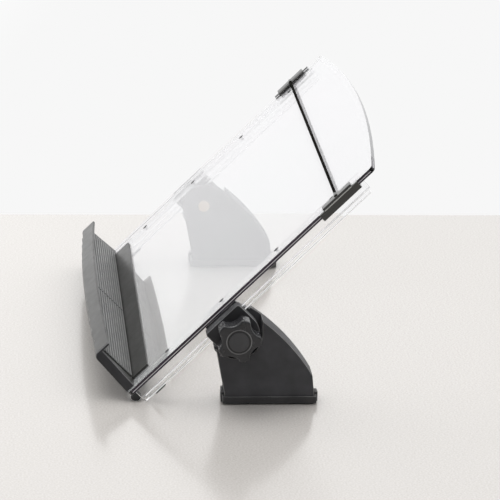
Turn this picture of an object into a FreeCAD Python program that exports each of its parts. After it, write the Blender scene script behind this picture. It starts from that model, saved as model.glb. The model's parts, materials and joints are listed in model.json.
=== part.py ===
import FreeCAD, Part
import math
import os
import re
import Sketcher

doc = FreeCAD.newDocument("copy_holder")
sizes = doc.addObject("Spreadsheet::Sheet", "sizes")

# Driving dimensions in millimetres, and angles in degrees. X runs along the ledge, S runs up
# the slope of the document panel and N stands square to it, towards the reader.
DIMENSIONS = {
    "tilt": 45,
    # clear document panel
    "panel_width": 460,
    "panel_side": 328,
    "panel_crown": 18.5,
    "panel_skirt": 4,
    "panel_thick": 4,
    "panel_corner": 5,
    "rim_rise": 1,
    "rim_width": 5,
    # clear rails under the panel's two sides
    "rail_inset": 8,
    "rail_wall": 3.5,
    "rail_flange": 17,
    "rail_flange_thick": 2,
    "rail_drop": 15.5,
    "rail_start": 2,
    "rail_length": 310,
    "rail_end_round": 5,
    "bead_out": 3.5,
    "bead_drop": 5,
    "bumper_radius": 6,
    "bumper_below": 1,
    "bumper_drop": 9,
    "bumper_width": 12,
    "grip_start": 15,
    "grip_length": 13,
    "grip_thick": 1.5,
    # screws that hold the rails to the panel
    "screw_inset": 19,
    "screw_first": 51,
    "screw_pitch": 75,
    "screw_count": 4,
    "screw_head": 2.9,
    "screw_shank": 1.5,
    "screw_cone": 1.6,
    # ledge that carries the papers
    "ledge_rim_gap": 0.2,
    "ledge_taper": 16,
    "ledge_reach": 47,
    "ledge_bow": 8,
    "ledge_floor": 10,
    "ledge_corner": 5,
    "ledge_wall": 2.2,
    "lip_rise": 10,
    "lip_thick": 2.4,
    "lip_edge": 0.8,
    "backstop_inset": 20,
    "backstop_rise": 21,
    "backstop_thick": 2.3,
    "end_cap_thick": 2.6,
    "mat_thick": 1,
    "mat_rib": 0.5,
    "mat_gap": 1.5,
    "mat_rib_count": 11,
    "mat_rib_pitch": 3.6,
    "mat_rib_width": 1.8,
    "clamp_rail_gap": 0.5,
    "clamp_start": 2,
    "clamp_height": 20,
    "clamp_thick": 3,
    "ledge_screw_rise": 15,
    "ledge_screw_pitch": 90,
    "ledge_screw_count": 5,
    "ledge_screw_head": 3,
    "ledge_screw_head_thick": 1.6,
    # line guide that slides along the panel's two sides
    "guide_rise": 283,
    "guide_bar_radius": 1.5,
    "guide_bar_lift": 2.4,
    "guide_gap": 0.4,
    "slider_inner": 8,
    "slider_outer": 4,
    "slider_top": 3.2,
    "slider_edge": 1.8,
    "slider_slope": 3,
    "slider_cheek": 3,
    "slider_hook": 11,
    "slider_hook_thick": 2.2,
    "slider_length": 50,
    "slider_top_length": 37,
    "guide_pad_thick": 0.8,
    "guide_pad_length": 40,
    "guide_pad_height": 2.8,
    "bar_socket": 7,
    "bar_boss_radius": 2.3,
    # brackets that clamp the rails at the pivots
    "pivot_rise": 116.5,
    "pivot_drop": 31.5,
    "ear_half": 22.5,
    "ear_top": 22.5,
    "ear_gap": 2,
    "ear_thick": 11,
    "clamp_clearance": 0.3,
    "jaw_half": 20,
    "jaw_top": 23.5,
    "jaw_thick": 5,
    "friction_washer_thick": 0.7,
    "friction_washer_radius": 12,
    # feet
    "foot_front": 13.2,
    "foot_length": 94,
    "foot_lean": 4.5,
    "foot_shoulder": 43.5,
    "foot_back_radius": 200,
    "foot_peak_back": 14.4,
    "foot_peak_rise": 21.4,
    "foot_plate_thick": 7,
    "foot_plate_round": 24,
    "shell_wall": 2.5,
    "pocket_radius": 25,
    "pocket_open_rise": 0,
    "pocket_open_back": 25,
    "pocket_open_front": 15.5,
    "shoe_floor": 4,
    "shoe_height": 8.8,
    "shoe_tab_height": 12,
    "shoe_wall": 1.8,
    "shoe_inner_wall": 2,
    "shoe_tab": 1.6,
    "shoe_tab_width": 10,
    "shoe_tab_inset": 4,
    "foot_pad_thick": 1.5,
    "foot_pad_length": 24,
    "foot_pad_inset": 3,
    "boss_radius": 4,
    "shell_screw_head": 3,
    "shell_screw_head_thick": 1.2,
    "shell_screw_reach": 12,
    # pivot bolts and star knobs
    "bolt_radius": 4,
    "bolt_head": 6.6,
    "bolt_head_thick": 2.2,
    "bolt_reach": 15,
    "running_fit": 0.06,
    "knob_washer_radius": 9,
    "knob_washer_thick": 1,
    "knob_hub": 11,
    "knob_hub_thick": 3,
    "knob_radius": 22.5,
    "knob_thick": 17.5,
    "scallop_radius": 13.5,
    "scallop_centre": 30.5,
    "lobe_count": 5,
    "lobe_round": 2.8,
    "knob_edge": 2,
    "insert_radius": 6.5,
    "insert_length": 16,
    "cap_radius": 11.2,
    "cap_sink": 2,
    "cap_rise": 0.8,
    "cap_clearance": 0.1,
}

# Lengths that follow from the driving dimensions, each one a formula in their names
DERIVED = {
    "panel_half": "panel_width / 2",
    "panel_back": "-(rim_rise + panel_thick)",
    "crown_radius": "((panel_half) ^ 2 + panel_crown ^ 2) / (2 * panel_crown)",
    "crown_centre": "panel_side + panel_crown - crown_radius",
    "rim_half": "panel_half - rim_width",
    "rim_radius": "crown_radius - rim_width",
    "rim_side": "crown_centre + sqrt(rim_radius ^ 2 - rim_half ^ 2)",
    "rail_x": "panel_half - rail_inset",
    "rail_bottom": "panel_back - rail_drop",
    "screw_x": "panel_half - screw_inset",
    "bumper_n": "-bumper_drop",
    "panel_z": "bumper_radius + bumper_below * sin(tilt) + bumper_drop * cos(tilt)",
    "front_reach": "ledge_floor / 2 * cos(tilt) + (ledge_reach + ledge_bow - rim_rise) * sin(tilt)",
    "back_reach": "(panel_side + panel_crown) * cos(tilt) + (rim_rise + panel_thick) * sin(tilt)",
    "panel_y": "(front_reach - back_reach) / 2",
    "ledge_half": "rim_half - ledge_rim_gap",
    "ledge_lip_half": "ledge_half - ledge_taper",
    "backstop_half": "ledge_half - backstop_inset",
    "clamp_half": "rail_x - rail_flange - clamp_rail_gap",
    "ledge_bottom": "-ledge_floor / 2",
    "ledge_top": "ledge_floor / 2",
    "lip_n": "ledge_reach - rim_rise",
    "bow_radius": "(ledge_lip_half ^ 2 + ledge_bow ^ 2) / (2 * ledge_bow)",
    "ear_x": "rail_x + ear_gap",
    "ear_out": "ear_x + ear_thick",
    "jaw_out": "rail_x - rail_wall - clamp_clearance",
    "jaw_in": "jaw_out - jaw_thick",
    "plate_out": "jaw_in - friction_washer_thick",
    "plate_in": "plate_out - foot_plate_thick",
    "pivot_z": "panel_z + pivot_rise * sin(tilt) - pivot_drop * cos(tilt)",
    "pivot_y": "panel_y + pivot_rise * cos(tilt) + pivot_drop * sin(tilt)",
    "shell_bottom": "shoe_floor - pivot_z",
    "foot_back": "foot_length - foot_front",
    "washer_out": "ear_out + knob_washer_thick",
    "knob_in": "washer_out + clamp_clearance",
    "knob_body": "knob_in + knob_hub_thick",
    "knob_out": "knob_body + knob_thick",
    "bolt_bore": "bolt_radius + running_fit",
}

for row, (name, size) in enumerate(DIMENSIONS.items(), start=1):
    sizes.set(f"A{row}", name)
    sizes.set(f"B{row}", str(size))
    sizes.setAlias(f"B{row}", name)
doc.recompute()


def formula(text):
    """Write a formula out in the sheet's own names."""
    def word(match):
        name = match.group(0)
        if name in DERIVED:
            return f"({formula(DERIVED[name])})"
        if name in DIMENSIONS:
            return f"sizes.{name}"
        return name
    return re.sub(r"[a-z_][a-z0-9_]*", word, str(text))


def value(text):
    """The size of a formula in the model as it stands."""
    return float(sizes.evalExpression(formula(text)))


def bind(thing, field, text):
    thing.setExpression(field, formula(text))


bodies = []


def new_body(name, where="panel"):
    """Start a piece in the panel's, the bracket's or the foot's own axes."""
    body = doc.addObject("PartDesign::Body", name)
    body.Label = name
    turn = FreeCAD.Rotation(FreeCAD.Vector(1, 0, 0), value("tilt"))
    body.Placement = FreeCAD.Placement(FreeCAD.Vector(), turn)
    if where == "foot":
        body.Placement = FreeCAD.Placement()
    else:
        bind(body, "Placement.Rotation.Angle", "tilt")
    bind(body, "Placement.Base.y", "panel_y" if where == "panel" else "pivot_y")
    bind(body, "Placement.Base.z", "panel_z" if where == "panel" else "pivot_z")
    bodies.append(body)
    return body


def origin_part(body, role):
    return next(part for part in body.Origin.OriginFeatures if part.Role == role)


def new_sketch(body, plane, at=("0", "0", "0")):
    sketch = body.newObject("Sketcher::SketchObject", f"{body.Name}_sketch")
    sketch.AttachmentSupport = (origin_part(body, f"{plane}_Plane"), [""])
    sketch.MapMode = "FlatFace"
    for axis, place in zip("xyz", at):
        bind(sketch, f"AttachmentOffset.Base.{axis}", place)
    return sketch


def hold(sketch, kind, *parts):
    """Add a constraint whose last part is a formula."""
    *where, size = parts
    number = sketch.addConstraint(Sketcher.Constraint(kind, *where, value(size)))
    bind(sketch, f"Constraints[{number}]", size)


def hold_point(sketch, edge, end, place):
    hold(sketch, "DistanceX", -1, 1, edge, end, place[0])
    hold(sketch, "DistanceY", -1, 1, edge, end, place[1])


def draw_circle(sketch, centre, radius):
    middle = FreeCAD.Vector(value(centre[0]), value(centre[1]), 0)
    circle = Part.Circle(middle, FreeCAD.Vector(0, 0, 1), value(radius))
    edge = sketch.addGeometry(circle, False)
    hold_point(sketch, edge, 3, centre)
    hold(sketch, "Radius", edge, radius)


def arc_between(start, end, radius):
    """The anticlockwise arc of this radius, bulging to the right of its chord."""
    chord = end - start
    middle = (start + end) * 0.5
    left = FreeCAD.Vector(-chord.y, chord.x, 0).normalize()
    centre = middle + left * math.sqrt(radius ** 2 - (chord.Length / 2) ** 2)
    first = math.atan2(start.y - centre.y, start.x - centre.x)
    last = math.atan2(end.y - centre.y, end.x - centre.x)
    return Part.ArcOfCircle(Part.Circle(centre, FreeCAD.Vector(0, 0, 1), radius), first, last)


def draw_outline(sketch, points):
    """Draw a closed outline. A point's third item is the radius of the arc that leaves it."""
    places = [FreeCAD.Vector(value(point[0]), value(point[1]), 0) for point in points]
    edges = []
    for index, point in enumerate(points):
        start, end = places[index], places[(index + 1) % len(places)]
        if len(point) == 3:
            shape = arc_between(start, end, value(point[2]))
        else:
            shape = Part.LineSegment(start, end)
        edges.append(sketch.addGeometry(shape, False))
    for index, edge in enumerate(edges):
        after = edges[(index + 1) % len(edges)]
        sketch.addConstraint(Sketcher.Constraint("Coincident", edge, 2, after, 1))
        hold_point(sketch, edge, 1, points[index])
        if len(points[index]) == 3:
            hold(sketch, "Radius", edge, points[index][2])


def profile(body, plane, start, loops):
    """Draw loops on a plane that lies at start along X, Y or Z."""
    along = f"-({start})" if plane == "XZ" else start
    sketch = new_sketch(body, plane, ("0", "0", along))
    for loop in loops:
        if isinstance(loop, tuple):
            draw_circle(sketch, loop[:2], loop[2])
        else:
            draw_outline(sketch, loop)
    sketch.Visibility = False
    return sketch


def solid(body, kind, plane, start, end, loops):
    """Fill or cut the loops from start to end along the plane's normal."""
    feature_name = f"{body.Name}_{kind.lower()}"
    drawn = profile(body, plane, start, loops)
    feature = body.newObject(f"PartDesign::{kind}", feature_name)
    feature.Profile = drawn
    bind(feature, "Length", f"({end}) - ({start})")
    feature.Reversed = (kind == "Pocket") != (plane == "XZ")
    return feature


def fill(body, plane, start, end, loops):
    return solid(body, "Pad", plane, start, end, loops)


def cut(body, plane, start, end, loops):
    return solid(body, "Pocket", plane, start, end, loops)


def fill_x(body, side, start, end, loops):
    """Fill from start to end on one side of the holder's middle."""
    low, high = (start, end) if side > 0 else (f"-({end})", f"-({start})")
    return fill(body, "YZ", low, high, loops)


def cut_x(body, side, start, end, loops):
    low, high = (start, end) if side > 0 else (f"-({end})", f"-({start})")
    return cut(body, "YZ", low, high, loops)


def box(low_a, low_b, high_a, high_b):
    return [(low_a, low_b), (high_a, low_b), (high_a, high_b), (low_a, high_b)]


def turned(body, kind, centre, profile_points):
    """Turn a profile of radius and height about a line through centre, square to the panel."""
    sketch = new_sketch(body, "XZ", (centre[0], "0", f"-({centre[1]})"))
    draw_outline(sketch, profile_points)
    feature = body.newObject(f"PartDesign::{kind}", f"{body.Name}_{kind.lower()}")
    feature.Profile = sketch
    feature.ReferenceAxis = (sketch, ["V_Axis"])
    feature.Angle = 360
    return feature


def row_of(body, feature, role, pitch, count, reverse=False):
    """Repeat a feature along one of the piece's own axes."""
    doc.recompute()
    row = body.newObject("PartDesign::LinearPattern", f"{body.Name}_row")
    row.Originals = [feature]
    row.Direction = (origin_part(body, role), [""])
    row.Reversed = reverse
    bind(row, "Length", f"{pitch} * ({count} - 1)")
    bind(row, "Occurrences", count)
    body.Tip = row
    return row


def round_edges(body, radius, wanted):
    """Round each edge whose middle the test accepts."""
    doc.recompute()
    tip = body.Tip
    names = []
    for number, edge in enumerate(tip.Shape.Edges, start=1):
        middle = edge.valueAt((edge.FirstParameter + edge.LastParameter) / 2)
        if wanted(edge, middle):
            names.append(f"Edge{number}")
    feature = body.newObject("PartDesign::Fillet", f"{body.Name}_fillet")
    feature.Base = (tip, names)
    bind(feature, "Radius", radius)
    body.Tip = feature
    return feature


def near(left, right):
    return abs(left - right) < 1e-3


def runs_along(edge, axis):
    """True for a straight edge along X, Y or Z."""
    if edge.Curve.TypeId != "Part::GeomLine":
        return False
    return near(abs(edge.Curve.Direction[axis]), 1)


# Clear document panel with a crowned top and a raised rim
def panel_outline():
    bottom = "-panel_skirt"
    return [("panel_half", bottom), ("panel_half", "panel_side", "crown_radius"),
            ("-panel_half", "panel_side"), ("-panel_half", bottom)]


def rim_outline():
    bottom = "-panel_skirt - rim_width"
    return [("rim_half", bottom), ("rim_half", "rim_side", "rim_radius"),
            ("-rim_half", "rim_side"), ("-rim_half", bottom)]


SCREW_PROFILE = [
    ("0", "-rim_rise"),
    ("0", "panel_back - rail_flange_thick"),
    ("screw_shank", "panel_back - rail_flange_thick"),
    ("screw_shank", "-rim_rise - screw_cone"),
    ("screw_head", "-rim_rise"),
]


def panel_screw_seats(body, side):
    """Countersunk holes for the rail screws."""
    seat = [
        ("0", "0"),
        ("0", "panel_back - rail_flange_thick"),
        ("screw_shank", "panel_back - rail_flange_thick"),
        ("screw_shank", "-rim_rise - screw_cone"),
        ("screw_head", "-rim_rise"),
        ("screw_head", "0"),
    ]
    groove = turned(body, "Groove", (f"{side} * screw_x", "screw_first"), seat)
    row_of(body, groove, "Y_Axis", "screw_pitch", "screw_count")


panel = new_body("document_panel")
fill(panel, "XY", "panel_back", "0", [panel_outline()])
cut(panel, "XY", "-rim_rise", "0", [rim_outline()])
round_edges(panel, "panel_corner", lambda edge, middle: runs_along(edge, 2)
            and near(abs(middle.x), value("panel_half")))
for side in (1, -1):
    panel_screw_seats(panel, side)
ledge_screw_holes = cut(panel, "XY", "panel_back - 1", "0",
                        [("-ledge_screw_pitch * (ledge_screw_count - 1) / 2",
                          "ledge_screw_rise", "screw_shank")])
row_of(panel, ledge_screw_holes, "X_Axis", "ledge_screw_pitch", "ledge_screw_count")


# Ledge: a hollow floor with a lip in front and a low backstop against the panel
def ledge_plan(half_shift, front_shift):
    """The ledge seen square to the panel's foot, with its bowed front."""
    near_half = f"ledge_half - ({half_shift})"
    lip_half = f"ledge_lip_half - ({half_shift})"
    radius = f"(bow_radius - ({front_shift}))"
    front = f"lip_n + ledge_bow - bow_radius + sqrt({radius} ^ 2 - ({lip_half}) ^ 2)"
    return [(near_half, "-rim_rise"), (lip_half, front, radius),
            (f"-({lip_half})", front), (f"-({near_half})", "-rim_rise")]


ledge = new_body("ledge_body")
fill(ledge, "XZ", "ledge_bottom", "ledge_top + lip_rise", [ledge_plan("end_cap_thick", "0")])
round_edges(ledge, "lip_edge", lambda edge, middle: middle.z > value("lip_n")
            and near(middle.y, value("ledge_top + lip_rise")))
round_edges(ledge, "ledge_corner", lambda edge, middle: middle.z > value("lip_n")
            and near(middle.y, value("ledge_bottom")))
trough = ledge_plan("-20", "lip_thick")
cut(ledge, "XZ", "ledge_top", "ledge_top + lip_rise", [trough])
hollow = ledge_plan("-20", "ledge_wall")
hollow[0] = (hollow[0][0], "-rim_rise + ledge_wall")
hollow[3] = (hollow[3][0], "-rim_rise + ledge_wall")
cut(ledge, "XZ", "ledge_bottom + ledge_wall", "ledge_top - ledge_wall", [hollow])
fill(ledge, "YZ", "-backstop_half", "backstop_half",
     [box("ledge_top", "-rim_rise", "ledge_top + backstop_rise", "backstop_thick - rim_rise")])
ledge_screw_seats = cut(ledge, "XY", "-rim_rise", "backstop_thick - rim_rise - ledge_wall / 3",
                        [("-ledge_screw_pitch * (ledge_screw_count - 1) / 2",
                          "ledge_screw_rise", "screw_shank")])
row_of(ledge, ledge_screw_seats, "X_Axis", "ledge_screw_pitch", "ledge_screw_count")


def ledge_end_cap(name, side):
    """Thin cover over one slanted end of the ledge."""
    cap = new_body(name)
    outside, inside = ledge_plan("0", "0"), ledge_plan("end_cap_thick", "0")
    corners = [outside[0], outside[1], inside[1], inside[0]]
    cheeks = [(f"{side} * ({corner[0]})", corner[1]) for corner in corners]
    fill(cap, "XZ", "ledge_bottom", "ledge_top + lip_rise", [cheeks])
    round_edges(cap, "ledge_corner", lambda edge, middle: middle.z > value("lip_n") - 1
                and near(middle.y, value("ledge_bottom")) and edge.Length < value("ledge_floor"))
    cut(cap, "YZ", f"{side} * ledge_half - 30", f"{side} * ledge_half + 30",
        [box("ledge_top", "-rim_rise", "ledge_top + lip_rise + 1", "lip_n - lip_thick")])


def ledge_mat(name, side):
    """Ribbed rubber mat on one half of the ledge's floor."""
    mat = new_body(name)
    inner = f"{side} * mat_gap / 2"
    outer = f"{side} * backstop_half"
    start = "backstop_thick - rim_rise + mat_gap"
    end = "lip_n - lip_thick - mat_gap"
    fill(mat, "XZ", "ledge_top", "ledge_top + mat_thick",
         [[(inner, start), (outer, start), (outer, end), (inner, f"{end} + ledge_bow * 0.9")]])
    rib = fill_x(mat, side, "mat_gap", "backstop_half - mat_gap",
                 [box("ledge_top + mat_thick", start, "ledge_top + mat_thick + mat_rib",
                      f"{start} + mat_rib_width")])
    row_of(mat, rib, "Z_Axis", "mat_rib_pitch", "mat_rib_count")


for name, side in (("right", 1), ("left", -1)):
    ledge_end_cap(f"{name}_ledge_end_cap", side)
    ledge_mat(f"{name}_ledge_mat", side)

strip = new_body("ledge_clamp_strip")
fill(strip, "YZ", "-clamp_half", "clamp_half",
     [box("clamp_start", "panel_back - clamp_thick", "clamp_start + clamp_height", "panel_back")])
strip_holes = cut(strip, "XY", "panel_back - clamp_thick", "panel_back",
                  [("-ledge_screw_pitch * (ledge_screw_count - 1) / 2",
                    "ledge_screw_rise", "screw_shank")])
row_of(strip, strip_holes, "X_Axis", "ledge_screw_pitch", "ledge_screw_count")

ledge_screws = new_body("ledge_screws")
ledge_screw = turned(ledge_screws, "Revolution",
                     ("-ledge_screw_pitch * (ledge_screw_count - 1) / 2", "ledge_screw_rise"), [
                         ("0", "backstop_thick - rim_rise - ledge_wall / 3"),
                         ("0", "panel_back - clamp_thick - ledge_screw_head_thick"),
                         ("ledge_screw_head", "panel_back - clamp_thick - ledge_screw_head_thick"),
                         ("ledge_screw_head", "panel_back - clamp_thick"),
                         ("screw_shank", "panel_back - clamp_thick"),
                         ("screw_shank", "backstop_thick - rim_rise - ledge_wall / 3"),
                     ])
row_of(ledge_screws, ledge_screw, "X_Axis", "ledge_screw_pitch", "ledge_screw_count")


# Rails, their screws, bumpers and grip pads
def side_rail(name, side):
    """Clear rail with a flange under the panel, a deep wall and a bead along its bottom."""
    rail = new_body(name)
    wall_in = "rail_x - rail_wall"
    flange_in = "rail_x - rail_flange"
    under = "panel_back - rail_flange_thick"
    bead = "rail_bottom + bead_drop"
    section = [(flange_in, "panel_back"), (flange_in, under), (wall_in, under),
               (wall_in, "rail_bottom"), ("rail_x + bead_out", "rail_bottom"),
               ("rail_x + bead_out", bead), ("rail_x", bead), ("rail_x", "panel_back")]
    fill(rail, "XZ", "rail_start", "rail_start + rail_length",
         [[(f"{side} * ({place[0]})", place[1]) for place in section]])
    round_edges(rail, "rail_end_round", lambda edge, middle: runs_along(edge, 0)
                and near(middle.y, value("rail_start + rail_length"))
                and near(middle.z, value("rail_bottom")))
    hole = cut(rail, "XY", under, "panel_back", [(f"{side} * screw_x", "screw_first", "screw_shank")])
    row_of(rail, hole, "Y_Axis", "screw_pitch", "screw_count")


def rail_screws(name, side):
    screws = new_body(name)
    screw = turned(screws, "Revolution", (f"{side} * screw_x", "screw_first"), SCREW_PROFILE)
    row_of(screws, screw, "Y_Axis", "screw_pitch", "screw_count")


def rail_bumper(name, side):
    """Rubber roll under the rail's lower end, on which the panel rests."""
    bumper = new_body(name)
    outer = "rail_x + bead_out"
    inner = f"{outer} - bumper_width"
    fill_x(bumper, side, inner, outer, [("-bumper_below", "bumper_n", "bumper_radius")])
    cut_x(bumper, side, f"{inner} - 1", f"{outer} + 1",
          [box("rail_start", "bumper_n - 20", "rail_start + 20", "bumper_n + 20")])
    cut_x(bumper, side, f"{inner} - 1", f"{outer} + 1",
          [box("-20", "panel_back", "20", "panel_back + 20")])


def rail_grip(name, side):
    grip = new_body(name)
    fill_x(grip, side, "rail_x - rail_wall", "rail_x + bead_out",
           [box("grip_start", "rail_bottom - grip_thick", "grip_start + grip_length", "rail_bottom")])


# Line guide: a straight bar between two sliders that hook round the panel's edges
def guide_slider(name, side):
    slider = new_body(name)
    top_in = "panel_half - slider_inner"
    outer = "panel_half + slider_outer"
    cheek_in = f"{outer} - slider_cheek"
    hook_in = f"{outer} - slider_hook"
    under = "panel_back - guide_gap"
    hook = [(cheek_in, "guide_gap"), (cheek_in, under), (hook_in, under),
            (hook_in, f"{under} - slider_hook_thick"), (outer, f"{under} - slider_hook_thick"),
            (outer, "guide_gap")]
    top = [(top_in, "guide_gap"), (outer, "guide_gap"), (outer, "slider_top"),
           (f"{top_in} + slider_slope", "slider_top"), (top_in, "guide_gap + slider_edge")]
    for half, section in (("slider_length / 2", hook), ("slider_top_length / 2", top)):
        fill(slider, "XZ", f"guide_rise - {half}", f"guide_rise + {half}",
             [[(f"{side} * ({place[0]})", place[1]) for place in section]])
    round_edges(slider, "slider_cheek / 3", lambda edge, middle: runs_along(edge, 1)
                and near(abs(middle.x), value(outer)) and not near(middle.z, value("guide_gap")))
    fill_x(slider, side, f"{top_in} + 1", f"{top_in} + bar_socket + 1",
           [("guide_rise", "guide_bar_lift", "bar_boss_radius")])
    cut_x(slider, side, f"{top_in} - 1", f"{top_in} + bar_socket",
          [("guide_rise", "guide_bar_lift", "guide_bar_radius")])
    cut_x(slider, side, f"{top_in} - 1", cheek_in,
          [box("guide_rise - bar_boss_radius - 1", "-rim_rise",
               "guide_rise + bar_boss_radius + 1", "guide_gap")])


def guide_pad(name, side):
    """Felt pad that drags on the panel's edge and keeps the guide where it is put."""
    pad = new_body(name)
    outer = "panel_half + slider_outer - slider_cheek"
    middle = "-(rim_rise + panel_thick) / 2"
    fill_x(pad, side, f"{outer} - guide_pad_thick", outer,
           [box("guide_rise - guide_pad_length / 2", f"{middle} - guide_pad_height / 2",
                "guide_rise + guide_pad_length / 2", f"{middle} + guide_pad_height / 2")])


bar = new_body("guide_bar")
bar_half = "(panel_half - slider_inner + bar_socket)"
fill(bar, "YZ", f"-{bar_half}", bar_half, [("guide_rise", "guide_bar_lift", "guide_bar_radius")])

for name, side in (("right", 1), ("left", -1)):
    side_rail(f"{name}_side_rail", side)
    rail_screws(f"{name}_rail_screws", side)
    rail_bumper(f"{name}_rail_bumper", side)
    rail_grip(f"{name}_rail_grip", side)
    guide_slider(f"{name}_guide_slider", side)
    guide_pad(f"{name}_guide_pad", side)


# Brackets in the pivot's axes, still square to the panel
def bracket_ear(name, side):
    """Outer half of the clamp, grooved to pass the rail's bead."""
    ear = new_body(name, "bracket")
    top = [box("-ear_half", "0", "ear_half", "ear_top")]
    boss_in = "rail_x + clamp_clearance"
    bead_top = "rail_bottom + bead_drop + pivot_drop + clamp_clearance"
    fill_x(ear, side, "ear_x", "ear_out", top)
    fill_x(ear, side, "ear_x", "ear_out", [("0", "0", "ear_half")])
    cut_x(ear, side, "ear_x - 1", "rail_x + bead_out + clamp_clearance",
          [box("-2 * ear_half", "rail_bottom + pivot_drop - clamp_clearance",
               "2 * ear_half", bead_top)])
    fill_x(ear, side, boss_in, "ear_x", [box("-ear_half", bead_top, "ear_half", "ear_top")])
    round_edges(ear, "3", lambda edge, middle: runs_along(edge, 0)
                and near(abs(middle.y), value("ear_half")) and near(middle.z, value("ear_top")))
    cut_x(ear, side, "ear_x - 5", "ear_out", [("0", "0", "bolt_bore")])


def bracket_jaw(name, side):
    """Inner half of the clamp, thicker below the rail, where it meets the ear."""
    jaw = new_body(name, "bracket")
    below = "rail_bottom + pivot_drop - clamp_clearance"
    fill_x(jaw, side, "jaw_in", "jaw_out", [box("-jaw_half", "0", "jaw_half", "jaw_top")])
    fill_x(jaw, side, "jaw_in", "ear_x - clamp_clearance", [("0", "0", "jaw_half")])
    cut_x(jaw, side, "jaw_out", "ear_x", [box("-2 * jaw_half", below, "2 * jaw_half", "jaw_top")])
    cut_x(jaw, side, "jaw_in", "ear_x", [("0", "0", "bolt_bore")])


def friction_washer(name, side):
    washer = new_body(name, "foot")
    fill_x(washer, side, "plate_out", "jaw_in - 0.05",
           [("0", "0", "friction_washer_radius"), ("0", "0", "bolt_bore")])


# Feet in the pivot's axes, square to the desk
def foot_outline(inset="0"):
    """The foot from its side: an upright curved front, a long leaning back."""
    bottom = f"shell_bottom + ({inset})"
    return [(f"shoe_wall - foot_front + ({inset})", bottom),
            (f"foot_back - shoe_wall - ({inset})", bottom),
            (f"foot_back - foot_lean - ({inset})", f"-foot_shoulder - ({inset}) / 3",
             "foot_back_radius"),
            (f"foot_peak_back - ({inset}) * 0.5", f"foot_peak_rise - ({inset})"),
            (f"-pocket_radius + 4.5 + ({inset})", f"-pocket_open_front - ({inset})"),
            (f"shoe_wall - foot_front + ({inset})", "shoe_tab_height - pivot_z")]


def boss_places():
    return [("2", "shell_bottom + 13"), ("foot_back - 16", "shell_bottom + 14"),
            ("foot_back - 32", "-pocket_radius - 4")]


def foot_shell(name, side):
    """Outer half of the foot, open towards the plate, with a pocket for the bracket."""
    shell = new_body(name, "foot")
    fill_x(shell, side, "plate_out", "ear_out", [foot_outline()])
    cut_x(shell, side, "plate_out", "ear_out - shell_wall", [foot_outline("shell_wall")])
    fill_x(shell, side, "plate_out", "ear_out - shell_wall / 2",
           [("0", "0", "pocket_radius + shell_wall")])
    fill_x(shell, side, "plate_out", "ear_out - shell_wall / 2",
           [box("pocket_open_back - shell_wall", "pocket_open_rise",
                "pocket_open_back + shell_wall", "foot_peak_rise / 2")])
    for place in boss_places():
        fill_x(shell, side, "plate_out", "ear_out - shell_wall / 2", [place + ("boss_radius",)])
        cut_x(shell, side, "plate_out", "plate_out + shell_screw_reach",
              [place + ("screw_shank",)])
    cut_x(shell, side, "plate_out - 1", "ear_out + 1", [("0", "0", "pocket_radius")])
    wide = "3 * pocket_radius"
    cut_x(shell, side, "plate_out - 1", "ear_out + 1",
          [box(f"-{wide}", "pocket_open_rise", "pocket_open_back", wide)])
    cut_x(shell, side, "plate_out - 1", "ear_out + 1",
          [box(f"-{wide}", "-pocket_open_front", "0", wide)])


def foot_plate(name, side):
    """Inner half of the foot, which carries the pivot bolt."""
    plate = new_body(name, "foot")
    fill_x(plate, side, "plate_in", "plate_out", [foot_outline()])
    wide = "3 * pocket_radius"
    cut_x(plate, side, "plate_in - 1", "plate_out + 1",
          [box(f"-{wide}", "-pocket_open_front", "0", wide)])
    fill_x(plate, side, "plate_in", "plate_out", [("0", "0", "foot_plate_round")])
    cut_x(plate, side, "plate_in - 1", "plate_out + 1", [("0", "0", "bolt_radius")])
    for place in boss_places():
        cut_x(plate, side, "plate_in - 1", "plate_out + 1", [place + ("screw_shank",)])


def foot_shoe(name, side):
    """Tray that closes the foot's bottom edge, with a tab at each end."""
    shoe = new_body(name, "foot")
    low = "foot_pad_thick - pivot_z"
    outer = "ear_out + shoe_wall"
    inner = "plate_in - shoe_inner_wall"
    fill_x(shoe, side, inner, outer, [box("-foot_front", low, "foot_back", "shoe_height - pivot_z")])
    tab_out = "ear_out - shoe_tab_inset"
    fill_x(shoe, side, f"{tab_out} - shoe_tab_width", tab_out,
           [box("-foot_front - shoe_tab", low, "foot_back + shoe_tab", "shoe_tab_height - pivot_z")])
    cut_x(shoe, side, "plate_in", "ear_out",
          [box("shoe_wall - foot_front", "shell_bottom", "foot_back - shoe_wall", "0")])


def foot_pads(name, side):
    pads = new_body(name, "foot")
    inner, outer = "plate_in - shoe_inner_wall + foot_pad_inset", "ear_out + shoe_wall - foot_pad_inset"
    for start in ("-foot_front + foot_pad_inset", "foot_back - foot_pad_inset - foot_pad_length"):
        fill_x(pads, side, inner, outer,
               [box(start, "-pivot_z", f"{start} + foot_pad_length", "foot_pad_thick - pivot_z")])


def foot_screws(name, side):
    screws = new_body(name, "foot")
    for place in boss_places():
        fill_x(screws, side, "plate_in - shell_screw_head_thick", "plate_in",
               [place + ("shell_screw_head",)])
        fill_x(screws, side, "plate_in", "plate_out + shell_screw_reach", [place + ("screw_shank",)])


# Pivot bolts and star knobs
def pivot_bolt(name, side):
    bolt = new_body(name, "foot")
    fill_x(bolt, side, "plate_in - bolt_head_thick", "plate_in", [("0", "0", "bolt_head")])
    fill_x(bolt, side, "plate_in", "knob_in + bolt_reach", [("0", "0", "bolt_radius")])


def knob_washer(name, side):
    washer = new_body(name, "foot")
    fill_x(washer, side, "ear_out + 0.05", "washer_out",
           [("0", "0", "knob_washer_radius"), ("0", "0", "bolt_bore")])


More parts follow.
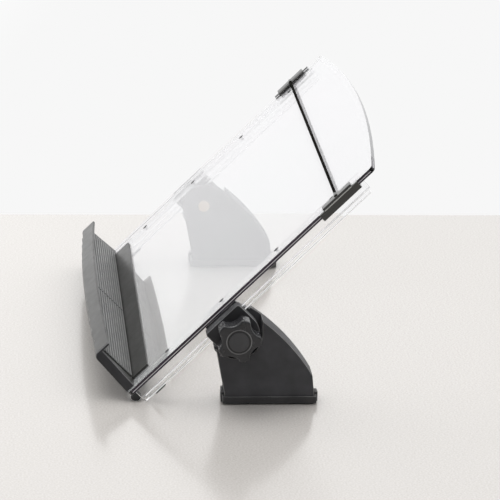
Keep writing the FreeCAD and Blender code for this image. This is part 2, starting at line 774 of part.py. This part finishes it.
def star_knob(name, side):
    """Five-lobed knob with a hub towards the foot and a seat for its cap."""
    knob = new_body(name, "foot")
    fill_x(knob, side, "knob_in", "knob_body", [("0", "0", "knob_hub")])
    fill_x(knob, side, "knob_body", "knob_out", [("0", "0", "knob_radius")])
    for lobe in range(int(value("lobe_count"))):
        turn = f"(({lobe} + 0.5) * 360 / lobe_count)"
        centre = (f"scallop_centre * cos({turn})", f"scallop_centre * sin({turn})")
        cut_x(knob, side, "knob_body", "knob_out", [centre + ("scallop_radius",)])
    round_edges(knob, "lobe_round", lambda edge, middle: runs_along(edge, 0)
                and middle.x * side > value("knob_body"))
    round_edges(knob, "knob_edge", lambda edge, middle: near(abs(middle.x), value("knob_out")))
    cut_x(knob, side, "knob_out - cap_sink", "knob_out", [("0", "0", "cap_radius + cap_clearance")])
    cut_x(knob, side, "knob_in", "knob_in + insert_length", [("0", "0", "insert_radius")])


def knob_insert(name, side):
    """Threaded metal bush in the knob, closed at its outer end."""
    insert = new_body(name, "foot")
    fill_x(insert, side, "knob_in", "knob_in + insert_length", [("0", "0", "insert_radius")])
    cut_x(insert, side, "knob_in", "knob_in + bolt_reach + 0.3", [("0", "0", "bolt_bore")])


def knob_cap(name, side):
    cap = new_body(name, "foot")
    fill_x(cap, side, "knob_out - cap_sink", "knob_out + cap_rise", [("0", "0", "cap_radius")])


for name, side in (("right", 1), ("left", -1)):
    bracket_ear(f"{name}_bracket_ear", side)
    bracket_jaw(f"{name}_bracket_jaw", side)
    friction_washer(f"{name}_friction_washer", side)
    foot_shell(f"{name}_foot_shell", side)
    foot_plate(f"{name}_foot_plate", side)
    foot_shoe(f"{name}_foot_shoe", side)
    foot_pads(f"{name}_foot_pads", side)
    foot_screws(f"{name}_foot_screws", side)
    pivot_bolt(f"{name}_pivot_bolt", side)
    knob_washer(f"{name}_knob_washer", side)
    star_knob(f"{name}_knob", side)
    knob_insert(f"{name}_knob_insert", side)
    knob_cap(f"{name}_knob_cap", side)

doc.recompute()
for thing in doc.Objects:
    if "Invalid" in thing.State or "Error" in thing.State:
        raise RuntimeError(f"{thing.Name} failed: {thing.State}")
for body in bodies:
    if body.Shape.isNull() or not body.Shape.isValid():
        raise RuntimeError(f"{body.Label} has no valid shape")

os.makedirs("parts", exist_ok=True)
for body in bodies:
    body.Shape.exportStep(f"parts/{body.Label}.step")
    print(body.Label, len(body.Shape.Solids), round(body.Shape.Volume))
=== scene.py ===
import json
import math

import bmesh
import bpy
from mathutils import Matrix, Vector


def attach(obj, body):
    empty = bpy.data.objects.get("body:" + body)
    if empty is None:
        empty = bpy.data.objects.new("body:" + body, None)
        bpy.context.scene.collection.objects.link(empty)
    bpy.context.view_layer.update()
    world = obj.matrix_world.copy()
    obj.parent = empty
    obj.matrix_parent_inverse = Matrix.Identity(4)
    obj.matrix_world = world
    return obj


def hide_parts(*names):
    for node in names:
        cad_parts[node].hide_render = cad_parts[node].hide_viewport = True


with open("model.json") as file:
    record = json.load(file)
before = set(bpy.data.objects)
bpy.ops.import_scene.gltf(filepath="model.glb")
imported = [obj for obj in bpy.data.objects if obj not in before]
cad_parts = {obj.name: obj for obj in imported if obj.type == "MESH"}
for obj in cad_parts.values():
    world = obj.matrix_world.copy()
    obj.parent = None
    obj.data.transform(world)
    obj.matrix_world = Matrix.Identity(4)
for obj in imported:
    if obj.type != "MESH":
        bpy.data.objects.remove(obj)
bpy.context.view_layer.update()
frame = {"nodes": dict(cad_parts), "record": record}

record = frame["record"]
BODY_OF = {node: body for body, nodes in record["behaviour"]["bodies"].items() for node in nodes}
SLOT_OF = {part["node"]: part["material_slot"] for part in record["subparts"]}
MM = 0.001
SIDES = (("right", 1), ("left", -1))


# The panel's axes: x across, s up the sheet, n out of its face
PIVOT = Vector((0, 0.001237, 0.073175))
PANEL_FOOT = Vector((0, -0.103414, 0.013071))
UP_SHEET = Vector((0, math.sqrt(0.5), math.sqrt(0.5)))
OUT_OF_SHEET = Vector((0, -math.sqrt(0.5), math.sqrt(0.5)))
PANEL_AXES = Matrix((Vector((1, 0, 0)), UP_SHEET, OUT_OF_SHEET)).transposed().to_4x4()
PANEL_PLACE = Matrix.Translation(PANEL_FOOT) @ PANEL_AXES

# What the finishes follow: the painted highlight line along the sheet's cut edges, and the mat's
# rib tops, painted lighter as sheen above the grooves' painted shade
EDGE_HIGHLIGHT_LINE = PANEL_FOOT.dot(OUT_OF_SHEET) - 2.9 * MM
RIB_TOP = max(vert.co.dot(UP_SHEET) for vert in frame["nodes"]["right_ledge_mat"].data.vertices)
RIB_HEIGHT = 0.5
HANDLING_HAZE = 0.55


# Camera: where the photograph was taken from, with its focal length in pixels of a 500 pixel frame
FRAME_PIXELS = 500
FOCAL_PIXELS = 2946
SENSOR = 36
CAMERA_PLACE = Vector((2.97905, -0.24893, 1.02407))
CAMERA_YAW = math.radians(5.416)
CAMERA_PITCH = math.radians(-17.38)
CAMERA_ROLL = math.radians(1.651)


def make_camera():
    level = math.cos(CAMERA_PITCH)
    ahead = Vector((-math.cos(CAMERA_YAW) * level, math.sin(CAMERA_YAW) * level,
                    math.sin(CAMERA_PITCH)))
    flat_right = Vector((math.sin(CAMERA_YAW), math.cos(CAMERA_YAW), 0))
    flat_up = flat_right.cross(ahead)
    right = math.cos(CAMERA_ROLL) * flat_right + math.sin(CAMERA_ROLL) * flat_up
    up = math.cos(CAMERA_ROLL) * flat_up - math.sin(CAMERA_ROLL) * flat_right
    camera = bpy.data.objects.new("camera", bpy.data.cameras.new("camera"))
    camera.data.sensor_width = SENSOR
    camera.data.lens = FOCAL_PIXELS * SENSOR / FRAME_PIXELS
    camera.data.clip_end = 50
    turn = Matrix((right, up, -ahead)).transposed().to_4x4()
    camera.matrix_world = Matrix.Translation(CAMERA_PLACE) @ turn
    bpy.context.scene.collection.objects.link(camera)
    bpy.context.scene.camera = camera


make_camera()
bpy.context.scene.view_settings.view_transform = "Standard"


# Shader maths
class Wire:
    """A socket's value, so that shader maths reads as plain arithmetic."""

    def __init__(self, paint, socket):
        self.paint = paint
        self.socket = socket

    def maths(self, operation, *values):
        return self.paint.maths(operation, self, *values)

    def __add__(self, other):
        return self.maths("ADD", other)

    def __sub__(self, other):
        return self.maths("SUBTRACT", other)

    def __mul__(self, other):
        return self.maths("MULTIPLY", other)

    def __rsub__(self, other):
        return self.paint.maths("SUBTRACT", other, self)

    __radd__ = __add__
    __rmul__ = __mul__


class Nodes:
    """A node tree and the one method that adds nodes to it."""

    def __init__(self, owner):
        owner.use_nodes = True
        self.tree = owner.node_tree

    def node(self, kind, settings, inputs=(), output=0):
        made = self.tree.nodes.new(kind)
        for field, choice in settings.items():
            if field == "stops":
                for stop, (place, shade) in zip(made.color_ramp.elements, choice):
                    stop.position = place
                    stop.color = (shade, shade, shade, 1)
            else:
                setattr(made, field, choice)
        pairs = inputs.items() if isinstance(inputs, dict) else enumerate(inputs)
        for where, amount in pairs:
            if isinstance(amount, Wire):
                self.tree.links.new(amount.socket, made.inputs[where])
            elif isinstance(amount, bpy.types.NodeSocket):
                self.tree.links.new(amount, made.inputs[where])
            elif made.inputs[where].type == "RGBA" and isinstance(amount, tuple):
                made.inputs[where].default_value = (*amount, 1)
            else:
                made.inputs[where].default_value = amount
        return Wire(self, made.outputs[output])

    def maths(self, operation, *values):
        return self.node("ShaderNodeMath", {"operation": operation}, values)

    def ramp(self, value, low, high, dark=0.0, light=1.0):
        return self.node("ShaderNodeValToRGB", {"stops": ((low, dark), (high, light))}, (value,))


class Paint(Nodes):
    """One material around a Principled shader."""

    def __init__(self, name, **constants):
        self.material = bpy.data.materials.new(name)
        super().__init__(self.material)
        self.shader = self.tree.nodes["Principled BSDF"]
        for socket, amount in constants.items():
            self.set(socket.replace("_", " "), amount)

    def set(self, name, amount):
        socket = self.shader.inputs[name]
        if isinstance(amount, Wire):
            self.tree.links.new(amount.socket, socket)
        elif isinstance(amount, tuple) and len(amount) == 3:
            socket.default_value = (*amount, 1)
        else:
            socket.default_value = amount

    def place(self, stretch=(1, 1, 1)):
        """Object coordinates, stretched along the axes."""
        coordinates = self.node("ShaderNodeTexCoord", {}, output="Object")
        return self.node("ShaderNodeMapping", {}, {"Vector": coordinates, "Scale": stretch})

    def noise(self, scale, detail=3.0, stretch=(1, 1, 1)):
        return self.node("ShaderNodeTexNoise", {}, {"Vector": self.place(stretch), "Scale": scale,
                                                    "Detail": detail})

    def along(self, direction):
        """Distance along a direction, in metres."""
        return self.node("ShaderNodeVectorMath", {"operation": "DOT_PRODUCT"},
                         (self.place(), tuple(direction)), output=1)

    def blend(self, factor, first, second):
        return self.node("ShaderNodeMix", {"data_type": "RGBA"},
                         {0: factor, 6: first, 7: second}, output=2)

    def finish(self, shader):
        self.tree.links.new(shader.socket, self.tree.nodes["Material Output"].inputs["Surface"])

    def clear_from_inside(self):
        """Let what looks out through the clear plastic pass."""
        inside = self.node("ShaderNodeNewGeometry", {}, output="Backfacing")
        clear = self.node("ShaderNodeBsdfTransparent", {})
        self.finish(self.node("ShaderNodeMixShader", {},
                              (inside, self.shader.outputs[0], clear)))

    def bump(self, height, strength, distance):
        self.set("Normal", self.node("ShaderNodeBump", {}, {"Height": height, "Strength": strength,
                                                            "Distance": distance}))


# Finishes
def moulded(name, shade, light, roughness, gloss=0.5):
    """Moulded plastic with a fine spark-eroded grain and faint handling marks."""
    paint = Paint(name, Specular_IOR_Level=gloss)
    wear = paint.ramp(paint.noise(38, 5.0), 0.38, 0.66)
    paint.set("Base Color", paint.blend(wear, shade, light))
    paint.set("Roughness", roughness + (paint.noise(90, 4.0) - 0.5) * 0.16)
    paint.bump(paint.noise(2600, 2.0), 0.25, 0.00004)
    return paint.material


def clear_acrylic(name, haze):
    """Polished acrylic whose handling haze shows where it is seen along its face."""
    paint = Paint(name, Transmission_Weight=1.0, IOR=1.49, Roughness=0.0)
    slant = paint.node("ShaderNodeLayerWeight", {}, {"Blend": 0.5}, output="Facing")
    inside = paint.node("ShaderNodeNewGeometry", {}, output="Backfacing")
    depth = paint.ramp(slant, 0.3, 0.8) * (1 - inside)
    paint.set("Base Color", paint.blend(depth, (0.99, 0.99, 0.995), (1 - haze,) * 3))
    film = paint.noise(5.5, 2.0)
    bloom = paint.node("ShaderNodeBsdfPrincipled", {}, {
        "Base Color": paint.blend(film, (0.95, 0.89, 0.96), (0.88, 0.95, 0.93)),
        "Roughness": 0.02, "IOR": 1.49})
    hazed = paint.node("ShaderNodeMixShader", {},
                       (depth * (haze * 0.6), paint.shader.outputs[0], bloom))
    shadow = paint.node("ShaderNodeLightPath", {}, output="Is Shadow Ray")
    clear = paint.node("ShaderNodeBsdfTransparent", {})
    paint.finish(paint.node("ShaderNodeMixShader", {}, (shadow * 0.9, hazed, clear)))
    return paint.material


def cut_edge_painted_shade_and_highlight():
    """The sheet's long cut edges: painted nearly black as a dark reflection, with one painted
    highlight line along the middle.
    """
    paint = Paint("cut_edge_painted_shade_and_highlight", Specular_IOR_Level=0.6)
    from_highlight_line = paint.maths("ABSOLUTE", paint.along(OUT_OF_SHEET) - EDGE_HIGHLIGHT_LINE)
    off_highlight_line = paint.ramp(from_highlight_line * 1000, 0.22, 0.34)
    streak = paint.ramp(paint.noise(60, 4.0, (1, 0.15, 0.15)), 0.35, 0.7)
    # Painted dark reflection in the cut edge, streaked along it
    dark = paint.blend(streak, (0.012, 0.008, 0.016), (0.06, 0.045, 0.07))
    # Painted highlight line along the middle of the edge, over the painted dark
    paint.set("Base Color", paint.blend(off_highlight_line, (0.85, 0.83, 0.87), dark))
    paint.set("Roughness", 0.12 + streak * 0.1)
    paint.clear_from_inside()
    return paint.material


def bright_arris():
    """Rounded arrises of clear plastic, painted as white highlight lines that also glow faintly,
    though they are no lamp.
    """
    paint = Paint("bright_arris", Specular_IOR_Level=0.8, Emission_Strength=0.3)
    glint = paint.noise(45, 3.0)
    shade = paint.blend(glint, (0.90, 0.90, 0.91), (0.99, 0.99, 0.99))
    paint.set("Base Color", shade)
    # Painted glow: the highlight colour is also emitted
    paint.set("Emission Color", shade)
    paint.set("Roughness", 0.15 + glint * 0.2)
    paint.clear_from_inside()
    return paint.material


def ribbed_rubber():
    """Rubber whose rib tops are painted lighter as sheen over dust, with grooves painted dark as
    shade.
    """
    paint = Paint("ribbed_rubber", Specular_IOR_Level=0.45)
    dust = paint.ramp(paint.noise(70, 6.0), 0.35, 0.7)
    above_groove = (paint.along(UP_SHEET) - RIB_TOP) * 1000 + RIB_HEIGHT
    rib_top_lit = paint.ramp(above_groove, 0.05, 0.2)
    # Rib tops: dust under a painted sheen
    worn = paint.blend(dust, (0.15, 0.152, 0.15), (0.21, 0.212, 0.21))
    # Grooves painted dark as shade, rib tops painted lighter
    paint.set("Base Color", paint.blend(rib_top_lit, (0.05, 0.051, 0.05), worn))
    paint.set("Roughness", 0.36 + (paint.noise(140) - 0.5) * 0.15)
    paint.bump(paint.noise(1800, 2.0), 0.3, 0.00004)
    return paint.material


def soft_rubber():
    paint = Paint("soft_rubber", Specular_IOR_Level=0.4)
    dust = paint.ramp(paint.noise(110, 5.0), 0.4, 0.72)
    paint.set("Base Color", paint.blend(dust, (0.016, 0.016, 0.017), (0.032, 0.032, 0.033)))
    paint.set("Roughness", 0.55 + (paint.noise(160) - 0.5) * 0.2)
    paint.bump(paint.noise(2200, 2.0), 0.35, 0.00005)
    return paint.material


def turned_brass():
    """Brass turned on a lathe: fine rings round the bolt's axis."""
    paint = Paint("turned_brass", Metallic=1.0)
    stain = paint.ramp(paint.noise(220, 5.0), 0.35, 0.7)
    paint.set("Base Color", paint.blend(stain, (0.70, 0.50, 0.30), (0.86, 0.68, 0.47)))
    paint.set("Roughness", 0.24 + (paint.noise(400) - 0.5) * 0.12)
    paint.bump(paint.noise(900, 2.0, (0.1, 1, 1)), 0.15, 0.00003)
    return paint.material


def plated_steel():
    paint = Paint("plated_steel", Metallic=1.0)
    grain = paint.noise(700, 3.0, (0.1, 1, 1))
    paint.set("Base Color", paint.blend(grain, (0.46, 0.46, 0.47), (0.62, 0.62, 0.63)))
    paint.set("Roughness", 0.3 + (grain - 0.5) * 0.2)
    paint.bump(grain, 0.1, 0.00002)
    return paint.material


def black_oxide():
    paint = Paint("black_oxide", Metallic=1.0)
    worn = paint.ramp(paint.noise(500, 4.0), 0.5, 0.8)
    paint.set("Base Color", paint.blend(worn, (0.02, 0.02, 0.022), (0.07, 0.068, 0.066)))
    paint.set("Roughness", 0.42 + (paint.noise(800) - 0.5) * 0.2)
    paint.bump(paint.noise(2600, 2.0), 0.2, 0.00002)
    return paint.material


def felt():
    paint = Paint("felt", Specular_IOR_Level=0.2, Sheen_Weight=0.5, Sheen_Roughness=0.6)
    fibre = paint.noise(1500, 6.0, (1, 0.3, 1))
    paint.set("Base Color", paint.blend(fibre, (0.012, 0.012, 0.013), (0.05, 0.05, 0.052)))
    paint.set("Roughness", 0.9 + (fibre - 0.5) * 0.1)
    paint.bump(fibre, 0.7, 0.0002)
    return paint.material


CHARCOAL = ((0.036, 0.036, 0.039), (0.052, 0.052, 0.056))
FINISHES = {
    "clear_acrylic": clear_acrylic("clear_sheet", HANDLING_HAZE),
    "ledge_plastic": moulded("ledge_plastic", (0.032, 0.032, 0.030), (0.045, 0.045, 0.043), 0.36),
    "end_cap_plastic": moulded("end_cap_plastic", (0.03, 0.03, 0.032), (0.042, 0.042, 0.045), 0.38),
    "mat_rubber": ribbed_rubber(),
    "strip_plastic": moulded("strip_plastic", (0.03, 0.03, 0.03), (0.045, 0.045, 0.045), 0.4),
    "black_screw": black_oxide(),
    "rubber": soft_rubber(),
    "guide_rod": moulded("guide_rod", (0.008, 0.008, 0.007), (0.014, 0.014, 0.012), 0.8, gloss=0.0),
    "slider_plastic": moulded("slider_plastic", (0.020, 0.020, 0.018), (0.030, 0.030, 0.028), 0.17,
                              gloss=0.9),
    "felt": felt(),
    "bracket_plastic": moulded("bracket_plastic", *CHARCOAL, 0.5, gloss=0.3),
    "washer": moulded("washer", (0.02, 0.02, 0.02), (0.03, 0.03, 0.03), 0.6),
    "foot_plastic": moulded("foot_plastic", (0.060, 0.060, 0.064), (0.082, 0.082, 0.088), 0.55,
                            gloss=0.2),
    "shoe_plastic": moulded("shoe_plastic", (0.026, 0.026, 0.028), (0.038, 0.038, 0.04), 0.5),
    "bolt_brass": turned_brass(),
    "insert_steel": plated_steel(),
    "knob_plastic": moulded("knob_plastic", (0.024, 0.024, 0.026), (0.036, 0.036, 0.039), 0.26),
    "cap_plastic": moulded("cap_plastic", (0.045, 0.045, 0.048), (0.06, 0.06, 0.064), 0.42),
}

# The rounded edges catch the light, so each has a lighter finish of its own: a painted highlight
EDGE_HIGHLIGHT_FINISHES = {
    # Clear plastic's rounded edges: painted white highlight lines that glow
    "clear_acrylic": bright_arris(),
    "ledge_plastic": moulded("ledge_edge_highlights", (0.16, 0.16, 0.158), (0.26, 0.26, 0.255), 0.34),
    "end_cap_plastic": moulded("end_cap_edge_highlights", (0.10, 0.10, 0.103), (0.2, 0.2, 0.204), 0.3),
    "slider_plastic": moulded("slider_edge_highlights", (0.14, 0.14, 0.135), (0.26, 0.26, 0.25), 0.28),
    "bracket_plastic": moulded("bracket_edge_highlights", (0.16, 0.16, 0.163), (0.3, 0.3, 0.304), 0.32),
    "foot_plastic": moulded("foot_edge_highlights", (0.15, 0.15, 0.148), (0.28, 0.28, 0.27), 0.34),
    "shoe_plastic": moulded("shoe_edge_highlights", (0.08, 0.08, 0.082), (0.16, 0.16, 0.16), 0.36),
    "knob_plastic": moulded("knob_edge_highlights", (0.12, 0.12, 0.123), (0.22, 0.22, 0.224), 0.24),
    "cap_plastic": moulded("cap_edge_highlights", (0.07, 0.07, 0.073), (0.13, 0.13, 0.133), 0.3),
    # A bright painted highlight ring on the bumper's rim
    "bumper_rim_highlight": moulded("bumper_rim_highlight", (0.6, 0.6, 0.6), (0.85, 0.85, 0.85), 0.2),
    "rubber": moulded("rubber_edge_highlights", (0.04, 0.04, 0.041), (0.08, 0.08, 0.081), 0.4),
}


def finish_node(node):
    """Give a construction piece its finish."""
    piece = frame["nodes"][node]
    piece.data.materials.clear()
    piece.data.materials.append(FINISHES[SLOT_OF[node]])


# Geometry helpers
SMOOTH_ANGLE = math.radians(35)
SHARP_ANGLE = math.radians(28)
FLAT_ANGLE = math.radians(0.4)
WELD = 1e-6


def add_piece(name, shape, body, slot, finishes=()):
    """Make a mesh piece of a finished shape, riding on its body."""
    mesh = bpy.data.meshes.new(name)
    shape.to_mesh(mesh)
    shape.free()
    mesh.shade_smooth()
    mesh.set_sharp_from_angle(angle=SMOOTH_ANGLE)
    for finish in finishes or (FINISHES[slot],):
        mesh.materials.append(finish)
    piece = bpy.data.objects.new(name, mesh)
    bpy.context.scene.collection.objects.link(piece)
    weighted = piece.modifiers.new("even_normals", "WEIGHTED_NORMAL")
    weighted.keep_sharp = True
    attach(piece, body)
    return piece


def round_edges(shape, edges, width):
    return bmesh.ops.bevel(shape, geom=edges, offset=width, offset_type="OFFSET", segments=2,
                           profile=0.5, affect="EDGES", clamp_overlap=True, material=-1)


def soften(shape, width, shortest):
    """Round the sharp edges that are long enough, and give them the second finish, a painted
    highlight.
    """
    edges = [edge for edge in shape.edges
             if edge.is_manifold and edge.calc_face_angle(0) > SHARP_ANGLE
             and edge.calc_length() > shortest]
    for face in round_edges(shape, edges, width)["faces"]:
        face.material_index = 1


def merged_copy(node):
    """The shape of a construction piece, with its flat faces whole again."""
    shape = bmesh.new()
    shape.from_mesh(frame["nodes"][node].data)
    bmesh.ops.remove_doubles(shape, verts=shape.verts, dist=WELD)
    bmesh.ops.dissolve_limit(shape, angle_limit=FLAT_ANGLE, verts=shape.verts, edges=shape.edges)
    return shape


def sink_ear_face(shape, side):
    """Leave a raised border round the bracket's outer face."""
    face_x = max(vert.co.x * side for vert in shape.verts)
    faces = [face for face in shape.faces
             if all(vert.co.x * side > face_x - 0.01 * MM for vert in face.verts)]
    bmesh.ops.inset_region(shape, faces=faces, thickness=1.7 * MM, depth=-0.6 * MM,
                           use_even_offset=True, use_boundary=True)


SIDE_EDGE = 229.5 * MM
CROWN_CORNER = 190 * MM


def darken_cut_edges(shape):
    """Give the sheet's two long cut edges and its crown's corners the third finish, a painted dark
    reflection with a painted highlight line.
    """
    for face in shape.faces:
        across = abs(face.calc_center_median().x)
        side_edge = abs(face.normal.x) > 0.99 and across > SIDE_EDGE
        # The crown's corners are painted dark as well
        crown_corner = face.normal.dot(UP_SHEET) > 0.9 and across > CROWN_CORNER
        if side_edge or crown_corner:
            face.material_index = 2


# Rims of screw holes in the clear pieces stay crisp
SHORTEST_CLEAR_EDGE = 3 * MM


def softened_copy(node, width):
    """A construction piece with the small edge radii that a mould gives."""
    slot = SLOT_OF[node]
    # The bumper's rim takes its own bright painted highlight ring
    edges = "bumper_rim_highlight" if node.endswith("rail_bumper") else slot
    shape = merged_copy(node)
    if node.endswith("bracket_ear"):
        sink_ear_face(shape, 1 if node.startswith("right") else -1)
    soften(shape, width, SHORTEST_CLEAR_EDGE if slot == "clear_acrylic" else 0)
    # Second finish: the painted highlight on the rounded edges
    finishes = [FINISHES[slot], EDGE_HIGHLIGHT_FINISHES.get(edges, FINISHES[slot])]
    # The sheet's cut edges take a third finish: painted dark reflection and a painted highlight
    # line
    if node == "document_panel":
        darken_cut_edges(shape)
        finishes.append(cut_edge_painted_shade_and_highlight())
    piece = add_piece(f"{node}_finished", shape, BODY_OF[node], slot, finishes)
    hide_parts(node)
    return piece


# Edge radii in millimetres, for the pieces of both sides
EDGE_RADII = {
    "document_panel": 0.6,
    "ledge_body": 0.3,
    "side_rail": 0.9,
    "ledge_end_cap": 0.5,
    "ledge_clamp_strip": 0.4,
    "rail_bumper": 1.1,
    "guide_slider": 0.35,
    "guide_bar": 0.3,
    "bracket_ear": 0.6,
    "bracket_jaw": 0.5,
    "foot_shell": 0.7,
    "foot_plate": 0.6,
    "foot_shoe": 0.5,
    "foot_pads": 0.3,
    "knob": 0.5,
    "pivot_bolt": 0.4,
}


def edge_radius(node):
    plain = node.removeprefix("right_").removeprefix("left_")
    return EDGE_RADII.get(plain)


for node in frame["nodes"]:
    if edge_radius(node):
        softened_copy(node, edge_radius(node) * MM)
    else:
        finish_node(node)


# Turned and rounded details, in millimetres
CAP_SEAT = 254.8
KNOB_FACE = 2.0
TURNING_STEPS = 64


def turned(outline, side):
    """Turn an outline of (distance out from the cap's seat, radius) pairs round the pivot."""
    shape = bmesh.new()
    points = [shape.verts.new((side * (CAP_SEAT + out) * MM, radius * MM, 0))
              for out, radius in outline]
    edges = [shape.edges.new(pair) for pair in zip(points, points[1:])]
    bmesh.ops.spin(shape, geom=points + edges, cent=(0, 0, 0), axis=(1, 0, 0),
                   angle=math.tau, steps=TURNING_STEPS, use_merge=True)
    bmesh.ops.remove_doubles(shape, verts=shape.verts, dist=WELD)
    bmesh.ops.translate(shape, verts=shape.verts, vec=PIVOT)
    bmesh.ops.recalc_face_normals(shape, faces=shape.faces)
    return shape


def knob_button(name, side):
    """Domed button in the knob's middle, standing in a groove."""
    outline = [(0, 0), (0, 9.7), (1.5, 9.9), (2.3, 10.1), (2.65, 9.7), (2.75, 9.1), (2.55, 8.5),
               (2.45, 5), (2.4, 0)]
    piece = add_piece(f"{name}_knob_button", turned(outline, side), f"{name}_knob", "cap_plastic")
    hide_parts(f"{name}_knob_cap")


def knob_ring(name, side):
    """Rounded ring on the knob's face in a painted-highlight finish, with a dark annulus inside it
    painted as a groove's shade.
    """
    under = KNOB_FACE - 0.3
    ring = [(under, 11.7), (KNOB_FACE + 0.2, 11.8), (KNOB_FACE + 0.32, 12.3),
            (KNOB_FACE + 0.2, 12.8), (under, 12.9), (under, 11.7)]
    groove = [(under, 10.25), (KNOB_FACE + 0.04, 10.25), (KNOB_FACE + 0.04, 11.75),
              (under, 11.75), (under, 10.25)]
    # Ring: painted highlight. Groove: dark annulus painted as shade
    for part, outline, finish in (("ring", ring, EDGE_HIGHLIGHT_FINISHES["knob_plastic"]),
                                  ("groove", groove, FINISHES["washer"])):
        add_piece(f"{name}_knob_{part}", turned(outline, side), f"{name}_knob", "knob_plastic",
                  (finish,))


def rounded_strips(size, places):
    """Strips with rounded edges, at places on the panel's axes."""
    shape = bmesh.new()
    for place in places:
        corners = bmesh.ops.create_cube(shape, size=1)["verts"]
        bmesh.ops.scale(shape, vec=Vector(size) * MM, verts=corners)
        bmesh.ops.translate(shape, vec=Vector(place) * MM, verts=corners)
    round_edges(shape, shape.edges[:], 0.3 * MM)
    bmesh.ops.transform(shape, matrix=PANEL_PLACE, verts=shape.verts)
    return shape


def slider_highlight_ridge(name, side):
    """Thin grip ridge along the slider's cheek, light grey as a painted highlight line."""
    ridge = rounded_strips((0.9, 36, 1.0), [(side * 234.1, 283, 0.4)])
    add_piece(f"{name}_slider_highlight_ridge", ridge, "line_guide", "slider_plastic", (ridge_painted_highlight,))


def bead_highlight_lines(name, side):
    """Strips on the rail's bead arrises, painted as bright glowing highlight lines along their
    whole length.
    """
    lines = rounded_strips((1.1, 304, 1.1), [(side * 225.2, 158, n) for n in (-15.85, -20.15)])
    add_piece(f"{name}_bead_highlight_lines", lines, "panel", "clear_acrylic",
              (EDGE_HIGHLIGHT_FINISHES["clear_acrylic"],))


# Light grey on the black slider: a painted highlight along its cheek
ridge_painted_highlight = moulded("slider_highlight_ridge", (0.5, 0.5, 0.48), (0.7, 0.7, 0.68), 0.3)
for name, side in SIDES:
    knob_button(name, side)
    knob_ring(name, side)
    slider_highlight_ridge(name, side)
    bead_highlight_lines(name, side)


# Stage: a pale desk that ends behind the holder, and soft light from all round
DESK_FAR = -0.42
DESK_NEAR = 4.0
DESK_HALF = 2.5


def pale_desk():
    """Warm pale laminate with a fine speckle and a soft sheen."""
    paint = Paint("pale_desk", Specular_IOR_Level=1.0, Coat_Weight=0.6, Coat_Roughness=0.12)
    speckle = paint.ramp(paint.noise(520, 3.0), 0.35, 0.65)
    cloud = paint.noise(6, 3.0)
    shade = paint.blend(speckle, (0.52, 0.49, 0.46), (0.62, 0.595, 0.57))
    paint.set("Base Color", paint.blend(cloud * 0.25, shade, (0.60, 0.58, 0.56)))
    paint.set("Roughness", 0.2 + (paint.noise(500, 2.0) - 0.5) * 0.16)
    paint.bump(paint.noise(650, 2.0), 0.2, 0.0002)
    return paint.material


def make_stage():
    shape = bmesh.new()
    corners = [(DESK_FAR, -DESK_HALF), (DESK_NEAR, -DESK_HALF), (DESK_NEAR, DESK_HALF),
               (DESK_FAR, DESK_HALF)]
    shape.faces.new([shape.verts.new((x, y, 0)) for x, y in corners])
    mesh = bpy.data.meshes.new("desk")
    shape.to_mesh(mesh)
    shape.free()
    mesh.materials.append(pale_desk())
    desk = bpy.data.objects.new("desk", mesh)
    bpy.context.scene.collection.objects.link(desk)


def area_light(name, place, aim, width, power):
    lamp = bpy.data.lights.new(name, "AREA")
    lamp.shape = "SQUARE"
    lamp.size = width
    lamp.energy = power
    light = bpy.data.objects.new(name, lamp)
    light.location = place
    light.rotation_euler = (Vector(aim) - Vector(place)).to_track_quat("-Z", "Y").to_euler()
    bpy.context.scene.collection.objects.link(light)


SOFTBOX_FACING = Vector((-0.95, -0.30, 0.09)).normalized()


def make_light():
    """A white room, dim behind the camera, with a softbox that the clear sheet mirrors."""
    world = bpy.data.worlds.new("studio")
    room = Nodes(world)
    facing = room.node("ShaderNodeTexCoord", {})
    across = room.node("ShaderNodeVectorMath", {"operation": "DOT_PRODUCT"},
                       (facing, (-1, 0, 0)), output=1)
    upward = room.node("ShaderNodeVectorMath", {"operation": "DOT_PRODUCT"},
                       (facing, (0, 0, 1)), output=1)
    toward = room.node("ShaderNodeVectorMath", {"operation": "DOT_PRODUCT"},
                       (facing, tuple(SOFTBOX_FACING)), output=1)
    walls = room.ramp(across * 0.5 + 0.5, 0.3, 0.72, 0.22, 0.93)
    ceiling = room.ramp(upward, 0.35, 0.95, 0.0, 0.9)
    softbox = room.ramp(toward, 0.90, 0.965, 0.0, 0.32)
    room.tree.links.new((walls + ceiling + softbox).socket,
                        room.tree.nodes["Background"].inputs["Strength"])
    room.tree.nodes["Background"].inputs["Color"].default_value = (1, 1, 1, 1)
    bpy.context.scene.world = world
    area_light("overhead", (-0.4, -0.3, 1.8), (0, 0, 0.1), 1.2, 13)


make_stage()
make_light()
